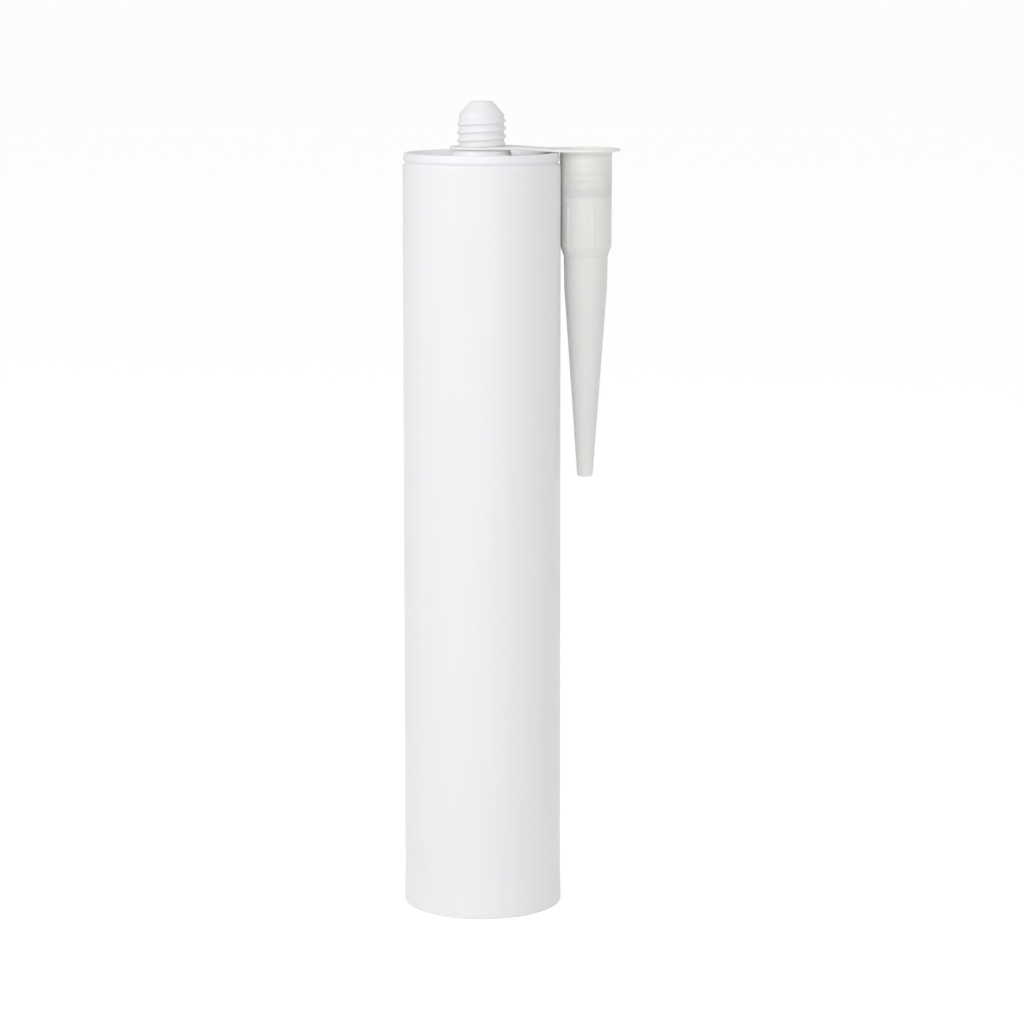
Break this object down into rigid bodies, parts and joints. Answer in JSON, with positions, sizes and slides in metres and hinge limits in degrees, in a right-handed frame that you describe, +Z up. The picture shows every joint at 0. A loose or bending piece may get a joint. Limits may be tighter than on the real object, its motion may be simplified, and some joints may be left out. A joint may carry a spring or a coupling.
{
  "type": "caulk tube",
  "caption": "Moulded sealant cartridge with a threaded neck, a plunger, its paste and a hanging conical nozzle.",
  "frame": {"origin": "centre of the tube's open rear end, on the plane that the tube stands on", "axes": "+Z up the tube to the threaded neck, +X from the tube's axis to the hanging nozzle"},
  "size_m": [0.0687, 0.0502, 0.2552],
  "materials": {
    "cartridge_white": "semi-gloss injection-moulded HDPE",
    "piston_natural": "satin injection-moulded polyethylene",
    "paste": "smooth wet paste",
    "nozzle_natural": "satin, slightly translucent polyethylene"
  },
  "bodies": {
    "tube": {"cartridge": "cartridge_white", "sealant": "paste"},
    "plunger": {"piston": "piston_natural"},
    "nozzle": {"nozzle": "nozzle_natural"}
  },
  "joints": [
    {"name": "plunger_slide", "type": "slide", "parent": "tube", "child": "plunger", "axis": [0, 0, 1], "range_m": [0, 0.2008], "deforming": ["sealant"]},
    {"name": "nozzle_swing", "type": "hinge", "parent": "tube", "child": "nozzle", "pos_m": [0, 0, 0.2409], "axis": [0, 0, 1], "continuous": true}
  ]
}
